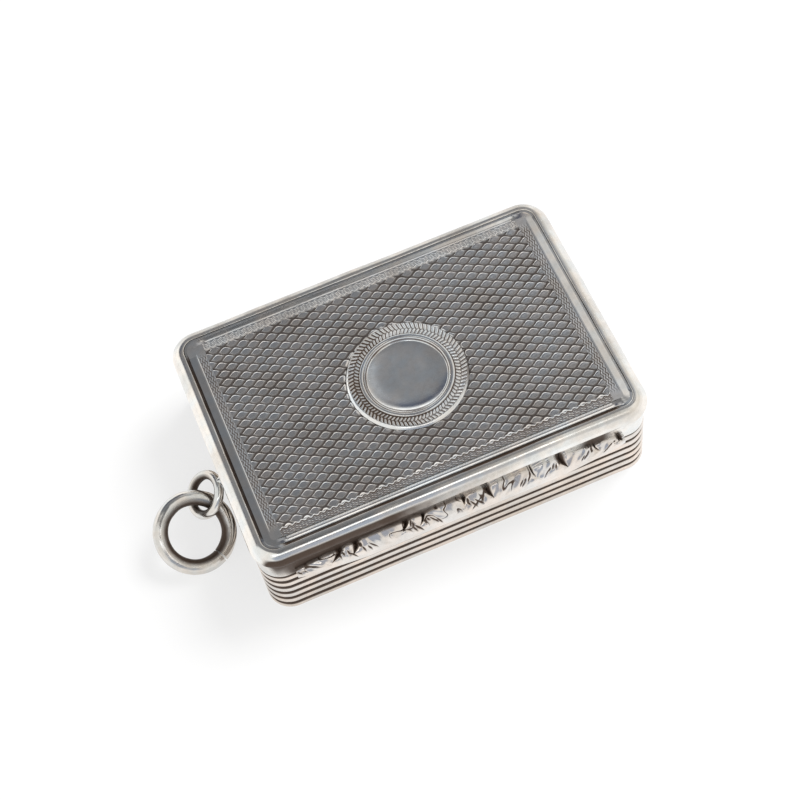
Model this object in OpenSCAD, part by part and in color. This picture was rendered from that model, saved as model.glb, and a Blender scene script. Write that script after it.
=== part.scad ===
/* [Case] */
// Length over the rolled border of the lid
case_l = 36; // [32:0.5:42]
// Width over the rolled border of the lid
case_w = 24.6; // [22:0.1:28]
// Height to the top of the rolled border
case_h = 9.8; // [9.4:0.1:11]
// Radius of the upright corners, at the rolled border
corner_r = 2.4; // [2.2:0.1:3]
// Gap left by the solder between pieces that are fixed together
solder_gap = 0.02; // [0.01:0.01:0.03]
// Clearance between pieces that move past each other
run_gap = 0.12; // [0.08:0.01:0.16]

/* [Body] */
// How far the reeded wall stands back from the rolled border
body_inset = 0.25; // [0.2:0.05:0.4]
// Thickness of the body wall over the reeds
wall_t = 0.8; // [0.7:0.05:0.9]
// Number of full reeds on the wall
reed_count = 5; // [4:1:7]
// Depth of the valleys between the reeds
reed_depth = 0.32; // [0.2:0.02:0.4]
// Height of the lowest reed, which is cut off by the table
foot_h = 0.65; // [0.4:0.05:0.9]
// Thickness of the base plate
base_t = 0.6; // [0.4:0.05:0.8]
// Thickness of the inner bezel
bezel_t = 0.38; // [0.3:0.02:0.46]
// How far the bezel stands up above the parting line
bezel_rise = 0.7; // [0.5:0.05:0.9]
// Height of the bezel strip
bezel_h = 3.8; // [3:0.1:4.4]

/* [Lid] */
// Height of the lid, from the parting line to the top of the roll
lid_h = 3.64; // [3.5:0.02:3.8]
// Radius of the rolled border
roll_r = 1.3; // [1.1:0.05:1.5]
// Thickness of the lid's flange under the roll
flange_t = 0.65; // [0.55:0.05:0.7]
// How far the flange stands back from the rolled border
flange_inset = 0.3; // [0.25:0.05:0.35]
// Gap at the parting line between lid and body
parting_gap = 0.06; // [0.04:0.01:0.1]
// Thickness of the lid plate
plate_t = 0.75; // [0.6:0.05:0.9]
// Width of the groove between roll and plate
groove_w = 0.25; // [0.15:0.05:0.4]
// Depth of the groove between roll and plate
groove_d = 0.3; // [0.2:0.05:0.4]
// Outer radius of the round reserve's milled border
reserve_r = 5.3; // [4.5:0.05:6]
// How far the reserve lies to the right of the middle of the lid
reserve_right = 0.15; // [0:0.05:0.3]
// How far the reserve lies in front of the middle of the lid
reserve_forward = 0.45; // [0:0.05:0.6]
// Width of the milled border round the reserve
reserve_border = 1.2; // [0.7:0.05:1.3]
// Width of the plain bead inside the milled border
reserve_bead = 0.3; // [0.2:0.05:0.4]
// Height of the bead above the plate
reserve_rise = 0.12; // [0.06:0.02:0.2]

/* [Thumbpiece] */
// Length of the leaf thumbpiece along the front
thumb_l = 30; // [24:0.5:31]
// How far its lip stands out from the flange at the middle
thumb_reach = 1.15; // [0.9:0.05:1.4]
// How far its lip stands out from the flange at the ends
thumb_end_reach = 0.35; // [0.25:0.05:0.5]
// Height of its back edge on the flange
thumb_h = 1.4; // [1.2:0.05:1.45]
// Thickness of its lip
thumb_lip = 0.28; // [0.2:0.02:0.4]
// Number of leaf lobes along the top edge
thumb_lobes = 11; // [9:2:15]

/* [Lid hinge] */
// Outer diameter of the lid hinge's tube
hinge_d = 1.4; // [1.2:0.05:1.5]
// Diameter of the lid hinge's pin
hinge_pin_d = 0.6; // [0.5:0.02:0.7]
// Length of the lid hinge
hinge_l = 28; // [24:0.5:29]
// Number of knuckles on the lid hinge
hinge_knuckles = 5; // [3:2:7]
// Clearance of a turning knuckle on its pin
pin_gap = 0.05; // [0.03:0.01:0.08]

/* [Grille] */
// Depth of the grille's top face below the parting line
grille_drop = 0.85; // [0.7:0.05:1]
// Thickness of the grille
grille_t = 0.45; // [0.35:0.05:0.5]
// Gap between the grille and the bezel
grille_gap = 0.2; // [0.15:0.01:0.3]
// Width of the plain border round the piercing
grille_border = 1.1; // [0.9:0.1:1.5]
// Width of the pierced scrolls
scroll_w = 0.8; // [0.6:0.05:1]
// Radius of the nail nick in the grille's front edge
nick_r = 1; // [0.7:0.1:1.4]
// Outer diameter of the grille hinge's tube
grille_tube_d = 1; // [0.9:0.02:1.1]
// Diameter of the grille hinge's pin
grille_pin_d = 0.45; // [0.35:0.02:0.5]
// Length of the grille hinge
grille_hinge_l = 20; // [14:0.5:22]
// Width of the ledge that the grille rests on
ledge_w = 0.5; // [0.4:0.05:0.7]
// Thickness of the ledge
ledge_t = 0.4; // [0.3:0.05:0.5]

/* [Sponge] */
// Gap between the sponge and the pieces round it
sponge_gap = 0.15; // [0.1:0.05:0.3]
// Radius of the sponge's corners and edges
sponge_r = 0.9; // [0.6:0.1:1.2]

/* [Suspension] */
// Wire diameter of the fixed loop
loop_wire_d = 0.84; // [0.76:0.02:0.86]
// Radius of the fixed loop at the middle of its wire
loop_r = 1.78; // [1.77:0.01:1.9]
// Height of the fixed loop's foot above the table
loop_h = 4.46; // [4.3:0.02:4.6]
// How far the fixed loop sits in front of the middle of the end
loop_forward = 0.3; // [0.1:0.05:0.5]
// Droop of the fixed loop below the horizontal
loop_droop = 40; // [38:1:42]
// Distance from the wall to the middle of the loop's wire
loop_standoff = 0.56; // [0.5:0.02:0.62]
// Diameter of the foot that joins the loop to the wall
loop_foot_d = 0.9; // [0.8:0.02:0.96]
// Wire diameter of the jump ring
ring_wire_d = 1.36; // [1.2:0.02:1.44]
// Radius of the jump ring at the middle of its wire
ring_r = 3.04; // [3:0.01:3.08]
// Lean of the jump ring, back edge up
ring_lean = 28.5; // [27.5:0.5:29.5]
// Sideways dip of the jump ring towards the wall
ring_dip = 14; // [13:0.5:15]
// Clearance between the jump ring and the wall
ring_wall_gap = 0.25; // [0.2:0.05:0.3]
// How far the jump ring's middle lies in front of the loop
ring_forward = 2.5; // [2.4:0.05:2.6]
// Width of the slit where the jump ring's ends meet
ring_slit = 0.08; // [0.04:0.02:0.16]
// Place of the slit round the jump ring
ring_slit_angle = -55; // [-70:1:-20]

/* [Hidden] */
$fn = 64;

// Overshoot of a cutting shape past the face it cuts
cut = 1;
// Least radius of a corner that is set far in
least_corner_r = 0.4;

// Distances in from the rolled border
reed_valley = body_inset + reed_depth;
wall_in = body_inset + wall_t;
bezel_out = wall_in + solder_gap;
bezel_in = bezel_out + bezel_t;
grille_inset = bezel_in + grille_gap;

// Heights; the parting line is where the body ends
body_h = case_h - lid_h - parting_gap;
reed_pitch = (body_h - foot_h) / reed_count;
lid_z = body_h + parting_gap;
roll_z = case_h - roll_r;
bezel_top = body_h + bezel_rise;
grille_top = body_h - grille_drop;
grille_z = grille_top - grille_t;
ledge_top = grille_z - run_gap;
ledge_z = ledge_top - ledge_t;

// A reed is the arc that spans one pitch and is one reed deep
reed_r = (pow(reed_pitch / 2, 2) + pow(reed_depth, 2)) / (2 * reed_depth);

// Lid hinge line, at the back on the parting line
hinge_y = case_w / 2;
hinge_z = body_h + parting_gap / 2;
knuckle_l = hinge_l / hinge_knuckles;

// Grille hinge line, inside the bezel at the back
grille_tube_r = grille_tube_d / 2;
grille_hinge_y = case_w / 2 - bezel_in - run_gap - grille_tube_r;
grille_hinge_z = grille_z + grille_tube_r;
grille_knuckle_l = grille_hinge_l / 2;
lug_l = (grille_hinge_l - grille_knuckle_l) / 2;
grille_back = grille_hinge_y - grille_tube_r / 5;
grille_front = -(case_w / 2 - grille_inset);

// Loop and ring, on the left end
wall_face = -(case_l / 2 - body_inset);
loop_x = wall_face - loop_standoff;
loop_seat = case_l / 2 - reed_valley;
ring_rise = sqrt(pow(sin(ring_dip), 2) + pow(cos(ring_dip) * sin(ring_lean), 2));
ring_x = wall_face - ring_wall_gap - ring_wire_d / 2 - ring_r;
ring_z = ring_wire_d / 2 + ring_r * ring_rise;

// Plan of the case, set in by a distance
module plan(inset) {
    l = case_l - 2 * inset;
    w = case_w - 2 * inset;
    r = max(corner_r - inset, least_corner_r);
    square([l - 2 * r, w], center = true);
    square([l, w - 2 * r], center = true);
    for (x = [-1, 1], y = [-1, 1]) {
        translate([x * (l / 2 - r), y * (w / 2 - r)]) circle(r);
    }
}

// A profile carried round the case: x is the distance in from the rolled border, y the height
module carried_round() {
    straight_l = case_l - 2 * corner_r;
    straight_w = case_w - 2 * corner_r;
    for (turn = [0, 180]) {
        rotate([0, 0, turn]) {
            translate([-straight_l / 2, -case_w / 2, 0])
                rotate([90, 0, 90]) linear_extrude(straight_l) children();
            translate([-case_l / 2, straight_w / 2, 0])
                rotate([90, 0, 0]) linear_extrude(straight_w) children();
            translate([straight_l / 2, straight_w / 2, 0])
                rotate_extrude(angle = 90) translate([corner_r, 0]) mirror([1, 0]) children();
            translate([-straight_l / 2, straight_w / 2, 0])
                rotate([0, 0, 90])
                rotate_extrude(angle = 90) translate([corner_r, 0]) mirror([1, 0]) children();
        }
    }
}

// A strip of rectangular section round the case, between two distances in and two heights
module strip(inset_a, inset_b, z_a, z_b) {
    translate([0, 0, z_a]) linear_extrude(z_b - z_a) difference() {
        plan(inset_a);
        plan(inset_b);
    }
}

// A rod along the length of the case, from its left end
module rod(x, l, r) {
    translate([x, 0, 0]) rotate([0, 90, 0]) cylinder(h = l, r = r);
}

// A length of hinge tube with its bore
module tube(x, l, r, bore_r) {
    difference() {
        rod(x, l, r);
        rod(x - cut, l + 2 * cut, bore_r);
    }
}

// Knuckles of the lid hinge: every second one, from the first for the body and the second for the lid
module lid_hinge_tubes(first, bore_r) {
    translate([0, hinge_y, hinge_z]) for (i = [first : 2 : hinge_knuckles - 1]) {
        tube(-hinge_l / 2 + i * knuckle_l + run_gap / 2, knuckle_l - run_gap, hinge_d / 2, bore_r);
    }
}

// Seat of the lid hinge in a wall: close round its own knuckles, with room for the others
module lid_hinge_seat(first) {
    translate([0, hinge_y, hinge_z]) for (i = [0 : hinge_knuckles - 1]) {
        own = i % 2 == first;
        room = own ? solder_gap : run_gap;
        end = own ? -run_gap / 2 + solder_gap : run_gap / 2;
        rod(-hinge_l / 2 + i * knuckle_l - end, knuckle_l + 2 * end, hinge_d / 2 + room);
    }
}

module wall_profile() {
    intersection() {
        union() {
            translate([reed_valley, 0]) square([wall_t, body_h]);
            for (i = [-1 : reed_count - 1]) {
                translate([body_inset + reed_r, foot_h + (i + 0.5) * reed_pitch]) circle(reed_r);
            }
        }
        square([wall_in, body_h]);
    }
}

module rim_profile() {
    translate([flange_inset, lid_z]) square([flange_t, roll_z - lid_z]);
    intersection() {
        translate([roll_r, roll_z]) circle(roll_r);
        square([roll_r, case_h]);
    }
}

// A leaf-shaped hole: two arcs that meet in points
module leaf_hole(l, w) {
    arc_r = (pow(l / 2, 2) + pow(w / 2, 2)) / w;
    intersection() {
        translate([0, arc_r - w / 2]) circle(arc_r);
        translate([0, w / 2 - arc_r]) circle(arc_r);
    }
}

// A C-scroll: an arc slot that opens into a round eye at its start and a small bulb at its end
module scroll_hole(r, w, from, to) {
    reach = 2 * (r + w);
    middle = (from + to) / 2;
    intersection() {
        difference() {
            circle(r + w / 2);
            circle(r - w / 2);
        }
        polygon([
            [0, 0],
            reach * [cos(from), sin(from)],
            reach * [cos(middle), sin(middle)],
            reach * [cos(to), sin(to)]
        ]);
    }
    translate(r * [cos(from), sin(from)]) circle(0.75 * w);
    translate(r * [cos(to), sin(to)]) circle(0.58 * w);
}

// One quarter of the piercing: two facing C-scrolls with leaves springing from them
module quarter_piercing(half_l, half_w) {
    big_r = min(half_w * 0.34, half_l * 0.205);
    small_r = big_r * 0.62;
    big_at = [half_l * 0.42, half_w * 0.5];
    small_at = [half_l * 0.8, half_w * 0.42];
    translate(big_at) scroll_hole(big_r, scroll_w, 215, 385);
    translate(big_at) scroll_hole(big_r * 0.42, scroll_w * 0.8, 60, 250);
    translate(small_at) scroll_hole(small_r, scroll_w * 0.9, -60, 120);
    translate(small_at) circle(scroll_w * 0.55);
    for (i = [0 : 3]) {
        turn = 55 + 35 * i;
        translate(big_at + (big_r + scroll_w * 0.15) * [cos(turn), sin(turn)])
            rotate(turn + 60) leaf_hole(big_r * 0.95, scroll_w * 0.95);
    }
    for (i = [0 : 2]) {
        turn = 150 + 55 * i;
        translate(small_at + (small_r + scroll_w * 0.1) * [cos(turn), sin(turn)])
            rotate(turn - 55) leaf_hole(small_r * 0.9, scroll_w * 0.8);
    }
    translate([half_l * 0.93, half_w * 0.86]) circle(scroll_w * 0.6);
    translate([half_l * 0.62, half_w * 0.9]) rotate(8) leaf_hole(big_r * 1.1, scroll_w * 0.8);
}

// The whole piercing: four quarters round an eight-petalled flower
module piercing(half_l, half_w) {
    petals = 8;
    petal_l = half_w * 0.3;
    for (mx = [0, 1], my = [0, 1]) {
        mirror([mx, 0]) mirror([0, my]) quarter_piercing(half_l, half_w);
    }
    circle(scroll_w * 0.6);
    for (i = [0 : petals - 1]) {
        rotate(i * 360 / petals) translate([petal_l * 0.95, 0]) leaf_hole(petal_l, scroll_w * 0.95);
    }
}

module base_plate() {
    color("silver") linear_extrude(base_t) plan(wall_in + solder_gap);
}

module body_wall() {
    color("silver") difference() {
        carried_round() wall_profile();
        lid_hinge_seat(0);
        translate([-loop_seat, -loop_forward, loop_h]) rotate([0, -90, 0])
            cylinder(h = reed_depth + cut, d = loop_foot_d + 2 * solder_gap);
    }
}

module bezel() {
    color("goldenrod") strip(bezel_out, bezel_in, bezel_top - bezel_h, bezel_top);
}

module grille_ledge() {
    color("goldenrod") strip(bezel_in + solder_gap, bezel_in + ledge_w, ledge_z, ledge_top);
}

// The pad is a rounded block: a straight middle with bevelled top and bottom edges
module sponge() {
    inset = bezel_in + sponge_gap;
    low = base_t + sponge_gap;
    high = ledge_z - sponge_gap;
    step = sponge_r / 3;
    color("khaki") union() {
        translate([0, 0, low]) linear_extrude(high - low) plan(inset + sponge_r);
        translate([0, 0, low + step]) linear_extrude(high - low - 2 * step) plan(inset + step);
        translate([0, 0, low + sponge_r]) linear_extrude(high - low - 2 * sponge_r) plan(inset);
    }
}

module body_hinge_knuckles() {
    color("silver") lid_hinge_tubes(0, hinge_pin_d / 2 + solder_gap);
}

module lid_hinge_pin() {
    color("gray") translate([0, hinge_y, hinge_z])
        rod(-hinge_l / 2 + run_gap / 2, hinge_l - run_gap, hinge_pin_d / 2);
}

// Two tubes, each with a web that is soldered to the bezel
module grille_lugs() {
    web_y = case_w / 2 - bezel_in - solder_gap;
    color("goldenrod") for (side = [-1, 1]) {
        x = side < 0 ? -grille_hinge_l / 2 : grille_hinge_l / 2 - lug_l + run_gap / 2;
        difference() {
            union() {
                translate([0, grille_hinge_y, grille_hinge_z]) rod(x, lug_l - run_gap / 2, grille_tube_r);
                translate([x, grille_hinge_y, grille_hinge_z - grille_tube_r / 2])
                    cube([lug_l - run_gap / 2, web_y - grille_hinge_y, grille_tube_r]);
            }
            translate([0, grille_hinge_y, grille_hinge_z])
                rod(x - cut, lug_l + 2 * cut, grille_pin_d / 2 + solder_gap);
        }
    }
}

module grille_hinge_pin() {
    color("goldenrod") translate([0, grille_hinge_y, grille_hinge_z])
        rod(-grille_hinge_l / 2, grille_hinge_l, grille_pin_d / 2);
}

module suspension_loop() {
    color("silver") translate([loop_x, -loop_forward, loop_h]) {
        rotate([0, -loop_droop, 0]) translate([-loop_r, 0, 0])
            rotate_extrude() translate([loop_r, 0]) circle(d = loop_wire_d);
        rotate([0, 90, 0]) cylinder(h = -loop_seat - solder_gap - loop_x, d = loop_foot_d);
    }
}

module lid_rim() {
    color("silver") difference() {
        carried_round() rim_profile();
        lid_hinge_seat(1);
    }
}

module lid_plate() {
    bead_r = reserve_r - reserve_border;
    color("silver") translate([0, 0, case_h - plate_t]) difference() {
        union() {
            linear_extrude(plate_t - groove_d) plan(roll_r + solder_gap);
            linear_extrude(plate_t) plan(roll_r + groove_w);
            translate([reserve_right, -reserve_forward]) {
                cylinder(h = plate_t + reserve_rise / 2, r = reserve_r);
                cylinder(h = plate_t + reserve_rise, r = bead_r);
            }
        }
        translate([reserve_right, -reserve_forward, plate_t + reserve_rise / 2])
            cylinder(h = cut, r = bead_r - reserve_bead);
    }
}

module lid_hinge_knuckles() {
    color("silver") lid_hinge_tubes(1, hinge_pin_d / 2 + pin_gap);
}

// A sloping strip under the roll: its lip bows out at the middle and its top edge is lobed like leaves
module thumbpiece() {
    flange_y = -(case_w / 2 - flange_inset);
    lip_y = flange_y - thumb_reach;
    bow = thumb_reach - thumb_end_reach;
    bow_r = (pow(thumb_l / 2, 2) + pow(bow, 2)) / (2 * bow);
    lobe_pitch = thumb_l / thumb_lobes;
    shoulder = thumb_lip + (thumb_h - thumb_lip) * 0.6;
    color("silver") intersection() {
        translate([-thumb_l / 2, flange_y - solder_gap, lid_z]) rotate([90, 0, 90]) linear_extrude(thumb_l)
            polygon([
                [0, 0], [-thumb_reach, 0], [-thumb_reach, thumb_lip],
                [-thumb_reach * 0.45, shoulder], [0, thumb_h]
            ]);
        translate([0, lip_y + bow_r, 0]) cylinder(h = case_h, r = bow_r, $fn = 256);
        translate([0, flange_y, lid_z]) rotate([90, 0, 0]) linear_extrude(2 * thumb_reach) union() {
            translate([-thumb_l / 2, 0]) square([thumb_l, thumb_h * 0.55]);
            for (i = [0 : thumb_lobes - 1]) {
                x = (i + 0.5) * lobe_pitch - thumb_l / 2;
                translate([x, thumb_h - lobe_pitch * 0.5]) circle(lobe_pitch * 0.5);
            }
        }
    }
}

module grille_plate() {
    half_l = case_l / 2 - grille_inset - grille_border;
    front = grille_front + grille_border;
    back = grille_back - grille_tube_r - grille_border / 2;
    color("gold") difference() {
        translate([0, 0, grille_z]) linear_extrude(grille_t) difference() {
            intersection() {
                plan(grille_inset);
                translate([-case_l / 2, -case_w]) square([case_l, case_w + grille_back]);
            }
            translate([0, (front + back) / 2]) piercing(half_l, (back - front) / 2);
            translate([0, grille_front]) circle(nick_r);
        }
        translate([0, grille_hinge_y, grille_hinge_z]) {
            rod(-grille_hinge_l / 2 - run_gap, grille_hinge_l + 2 * run_gap, grille_tube_r + solder_gap);
            for (side = [-1, 1]) {
                x = side < 0 ? -grille_hinge_l / 2 - run_gap : grille_knuckle_l / 2 - run_gap / 2;
                rod(x, lug_l + 1.5 * run_gap, grille_tube_r + run_gap);
            }
        }
    }
}

module grille_knuckle() {
    color("gold") translate([0, grille_hinge_y, grille_hinge_z])
        tube(
            -grille_knuckle_l / 2 + run_gap / 2, grille_knuckle_l - run_gap,
            grille_tube_r, grille_pin_d / 2 + pin_gap
        );
}

// A round wire bent to a ring, with a slit where its ends meet
module jump_ring() {
    slit = ring_slit / ring_r * 180 / PI;
    color("silver") translate([ring_x, -loop_forward - ring_forward, ring_z]) rotate([ring_lean, ring_dip, 0])
        rotate([0, 0, ring_slit_angle + slit / 2])
        rotate_extrude(angle = 360 - slit) translate([ring_r, 0]) circle(d = ring_wire_d);
}

base_plate();
body_wall();
bezel();
grille_ledge();
sponge();
body_hinge_knuckles();
lid_hinge_pin();
grille_lugs();
grille_hinge_pin();
suspension_loop();
lid_rim();
lid_plate();
lid_hinge_knuckles();
thumbpiece();
grille_plate();
grille_knuckle();
jump_ring();
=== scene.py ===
# A small silver vinaigrette, in the order it is put together: case, sponge, hinges, grille, ring and lid.
import math
import bpy
import numpy as np
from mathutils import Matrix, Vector, noise


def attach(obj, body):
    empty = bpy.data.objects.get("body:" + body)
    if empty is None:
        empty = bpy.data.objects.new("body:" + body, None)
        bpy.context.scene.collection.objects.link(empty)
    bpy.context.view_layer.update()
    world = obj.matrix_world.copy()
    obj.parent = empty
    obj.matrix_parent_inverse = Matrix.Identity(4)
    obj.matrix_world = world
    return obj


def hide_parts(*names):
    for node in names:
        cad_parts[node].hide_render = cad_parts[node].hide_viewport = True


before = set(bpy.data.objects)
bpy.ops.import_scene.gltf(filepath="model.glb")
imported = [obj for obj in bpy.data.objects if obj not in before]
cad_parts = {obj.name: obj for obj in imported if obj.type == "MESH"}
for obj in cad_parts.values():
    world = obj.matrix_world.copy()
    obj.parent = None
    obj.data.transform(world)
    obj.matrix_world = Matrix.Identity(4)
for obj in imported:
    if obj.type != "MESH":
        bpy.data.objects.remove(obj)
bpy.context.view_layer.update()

# Base plate
# A flat sheet of silver soldered inside the foot of the wall, so that the case stands on it.
# It keeps its solid and takes the plain rubbed finish that the other silver pieces vary.
mm = 0.001
brown_polish_and_shade = (0.08, 0.054, 0.04, 1)
straw_film = (0.56, 0.49, 0.41, 1)
grey_speck = (0.36, 0.32, 0.28, 1)
cool_tint = (0.91, 0.975, 1.03, 1)
stroke_turns = (0.35, -0.8)


class Finish:
    """A socket of a finish: sums on it add Math nodes, and node() adds a node of any other kind."""

    def __init__(self, tree, socket=None):
        self.tree = tree
        self.socket = socket

    def node(self, kind, settings, sockets, output=0):
        made = self.tree.nodes.new("ShaderNode" + kind)
        for key, value in settings.items():
            setattr(made, key, value)
        for key, value in sockets.items():
            self.feed(made, key, value)
        return Finish(self.tree, made.outputs[output])

    def feed(self, made, key, value):
        if isinstance(value, Finish):
            self.tree.links.new(value.socket, made.inputs[key])
        else:
            made.inputs[key].default_value = value

    def maths(self, operation, first, second):
        return self.node("Math", {"operation": operation}, {0: first, 1: second})

    def __add__(self, other):
        return self.maths("ADD", self, other)

    __radd__ = __add__

    def __sub__(self, other):
        return self.maths("SUBTRACT", self, other)

    def __rsub__(self, other):
        return self.maths("SUBTRACT", other, self)

    def __mul__(self, other):
        return self.maths("MULTIPLY", self, other)

    __rmul__ = __mul__

    def between(self, low, high):
        settings = {"interpolation_type": "SMOOTHSTEP"}
        return self.node("MapRange", settings, {"Value": self, "From Min": low, "From Max": high})

    def blend(self, low, high):
        return self.node("Mix", {"data_type": "RGBA"}, {0: self, 6: low, 7: high}, 2)


def new_finish(name):
    made = bpy.data.materials.new(name)
    made.use_nodes = True
    return made, made.node_tree.nodes["Principled BSDF"], Finish(made.node_tree)


def silver(name, clean, polish, dark_share, rubbing, dark=brown_polish_and_shade):
    """Rubbed silver: its clean colour, roughness, how strongly the grime-and-shade mark darkens it (dark
    polish and painted shade), depth of scratches and the dark colour for that mark.
    """
    made, shader, start = new_finish(name)
    place = start.node("TexCoord", {}, {}, "Object")
    cloud = start.node("TexNoise", {}, {"Vector": place, "Scale": 210, "Detail": 4, "Roughness": 0.6})
    patch = start.node("TexNoise", {}, {"Vector": place, "Scale": 620, "Detail": 2})
    specks = start.node("TexNoise", {}, {"Vector": place, "Scale": 2400, "Detail": 3})
    strokes = []
    for turn in stroke_turns:
        laid = {"Vector": place, "Rotation": (0.2, 0.1, turn), "Scale": (260, 7000, 7000)}
        line = start.node("Mapping", {"vector_type": "POINT"}, laid)
        strokes.append(start.node("TexNoise", {}, {"Vector": line, "Scale": 1, "Detail": 2}))
    grime_and_shade = start.node("Attribute", {"attribute_name": "grime_and_shade"}, {}, "Fac")
    film = cloud.between(0.38, 0.72)
    # The mark darkens the colour: dark polish in grooves, and painted shade where a piece's mask puts shade.
    darkened = (grime_and_shade * dark_share * (0.85 + 0.3 * film)).between(0, 0.9)
    cool = tuple(part * share for part, share in zip(clean, cool_tint))
    tinted = patch.between(0.35, 0.65).blend(clean, cool)
    straw = (film * 0.4).blend(tinted, straw_film)
    dulled = (specks.between(0.4, 0.7) * 0.1).blend(straw, grey_speck)
    start.feed(shader, "Base Color", darkened.blend(dulled, dark))
    start.feed(shader, "Metallic", 1 - 0.4 * darkened)
    start.feed(shader, "Roughness", polish + 0.1 * film + 0.05 * specks + 0.3 * darkened * darkened)
    height = (strokes[0] + strokes[1]) * rubbing + 0.12 * specks
    worn = {"Strength": 0.16, "Distance": 0.02 * mm, "Height": height}
    start.feed(shader, "Normal", start.node("Bump", {}, worn))
    return made


def dress(piece, material):
    piece.data.materials.clear()
    piece.data.materials.append(material)


plain_silver = silver("plain_silver", (0.84, 0.83, 0.81, 1), polish=0.14, dark_share=0.9, rubbing=0.5)
dress(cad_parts["base_plate"], plain_silver)

# Reeded wall
# The upright sides, one strip of silver rolled to five rounded reeds over a rounded foot, bent round the four
# corners and soldered. The sharp valleys are darkened with dark polish and painted shade, and the back is cut
# away for the hinge.
case_l = 36 * mm
case_w = 24.6 * mm
corner_r = 2.4 * mm
wall_top = 6.1 * mm
wall_out = 0.25 * mm
wall_in = 1.05 * mm
foot_h = 0.65 * mm
reed_count = 5
reed_depth = 0.32 * mm
reed_fullness = 2.6
reed_steps = 14
wall_step = 0.08 * mm
bright_share = 0.1
valley_dark_ramp = 0.25
valley_end = 1.12
hinge_y = 12.3 * mm
hinge_z = 6.13 * mm
hinge_r = 0.7 * mm
hinge_l = 28 * mm
run_gap = 0.12 * mm


def new_piece(name, add, **settings):
    bpy.ops.object.select_all(action="DESELECT")
    add(**settings)
    piece = bpy.context.object
    piece.name = name
    piece.data.name = name
    return piece


def pick(*pieces):
    """Selects these pieces alone, the first of them active."""
    bpy.ops.object.select_all(action="DESELECT")
    for piece in pieces:
        piece.select_set(True)
    bpy.context.view_layer.objects.active = pieces[0]


def edit_all():
    bpy.ops.object.mode_set(mode="EDIT")
    bpy.ops.mesh.select_all(action="SELECT")


def close_up(merge=0.002 * mm):
    bpy.ops.mesh.select_all(action="SELECT")
    bpy.ops.mesh.remove_doubles(threshold=merge)
    bpy.ops.mesh.normals_make_consistent(inside=False)
    bpy.ops.object.mode_set(mode="OBJECT")


def carried_round(name, section, along=48, across=32, bend=14):
    """Carries a closed section, as (distance in from the edge, height), round the outline of the case."""
    piece = new_piece(name, bpy.ops.mesh.primitive_circle_add, vertices=len(section), fill_type="NOTHING")
    side_x = case_l / 2 - corner_r
    side_y = case_w / 2 - corner_r
    for vertex, (inward, height) in zip(piece.data.vertices, section):
        vertex.co = (-side_x, inward - case_w / 2, height)
    edit_all()
    for quarter in range(4):
        turn = quarter * math.pi / 2
        ahead = Vector((math.cos(turn), math.sin(turn), 0))
        run = 2 * (side_x if quarter % 2 == 0 else side_y)
        steps = along if quarter % 2 == 0 else across
        for step in range(steps):
            bpy.ops.mesh.extrude_edges_move(TRANSFORM_OT_translate={"value": ahead * run / steps})
        pivot_x = side_x if quarter < 2 else -side_x
        pivot_y = side_y if quarter in (1, 2) else -side_y
        pivot = (pivot_x, pivot_y, 0)
        bpy.ops.mesh.spin(steps=bend, angle=math.pi / 2, center=pivot, axis=(0, 0, -1))
    close_up()
    return piece


def cut_seat(piece, radius):
    """Cuts the round seat for the hinge tube out of a piece."""
    settings = {"vertices": 40, "radius": radius, "depth": hinge_l + 2 * run_gap}
    place = {"location": (0, hinge_y, hinge_z), "rotation": (0, math.pi / 2, 0)}
    cutter = new_piece("seat_cutter", bpy.ops.mesh.primitive_cylinder_add, **settings, **place)
    pick(piece)
    cut = piece.modifiers.new("seat", "BOOLEAN")
    cut.object = cutter
    cut.operation = "DIFFERENCE"
    cut.solver = "EXACT"
    bpy.ops.object.modifier_apply(modifier=cut.name)
    bpy.data.objects.remove(cutter)


def inset_of(spot):
    """How far a point lies in from the outline of the case."""
    past_x = abs(spot.x) - (case_l / 2 - corner_r)
    past_y = abs(spot.y) - (case_w / 2 - corner_r)
    past = math.hypot(max(past_x, 0), max(past_y, 0)) + min(max(past_x, past_y), 0)
    return corner_r - past


def hand_worked(piece, amount, size):
    """Gives a piece the slight unevenness of hand work."""
    moves = [noise.noise(vertex.co / size) * amount * vertex.normal for vertex in piece.data.vertices]
    for vertex, move in zip(piece.data.vertices, moves):
        vertex.co += move


def mark_grime_and_shade(piece, depth_of):
    """Keeps how far each point is darkened, from 0 to 1: dark polish in grooves, and painted shade where a
    piece's mask puts it.
    """
    layer = piece.data.attributes.new("grime_and_shade", "FLOAT", "POINT")
    for vertex, mark in zip(piece.data.vertices, layer.data):
        mark.value = min(1, max(0, depth_of(vertex.co)))


def smooth(piece, angle=35):
    pick(piece)
    bpy.ops.object.shade_smooth_by_angle(angle=math.radians(angle))


def set_in(piece, body, slot, *nodes):
    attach(piece, body)
    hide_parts(*nodes)


reed_pitch = (wall_top - foot_h) / reed_count
wall_section = []
for reed in range(-1, reed_count):
    middle = foot_h + (reed + 0.5) * reed_pitch
    for step in range(reed_steps + 1):
        swing = 2 * step / reed_steps - 1
        height = middle + swing * reed_pitch / 2
        if height >= 0:
            wall_section.append((wall_out + reed_depth * abs(swing) ** reed_fullness, height))
valley_in = wall_out + reed_depth
wall_section = wall_section + [(valley_in + wall_step, wall_top), (wall_in, wall_top), (wall_in, 0)]
reeded_wall = carried_round("reeded_wall", wall_section)
cut_seat(reeded_wall, hinge_r + run_gap)


def reed_polish_and_shade(spot):
    """Darkens the valleys with dark polish and painted shade, widest at the left end, but not on the flat
    upper edge or the inside.
    """
    depth = (inset_of(spot) - wall_out) / reed_depth
    rightward = min(1, max(0, 2 * spot.x / case_l + 0.7))
    bright_to = bright_share * (1 + rightward)
    return (depth - bright_to) / valley_dark_ramp if depth < valley_end else 0


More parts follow.
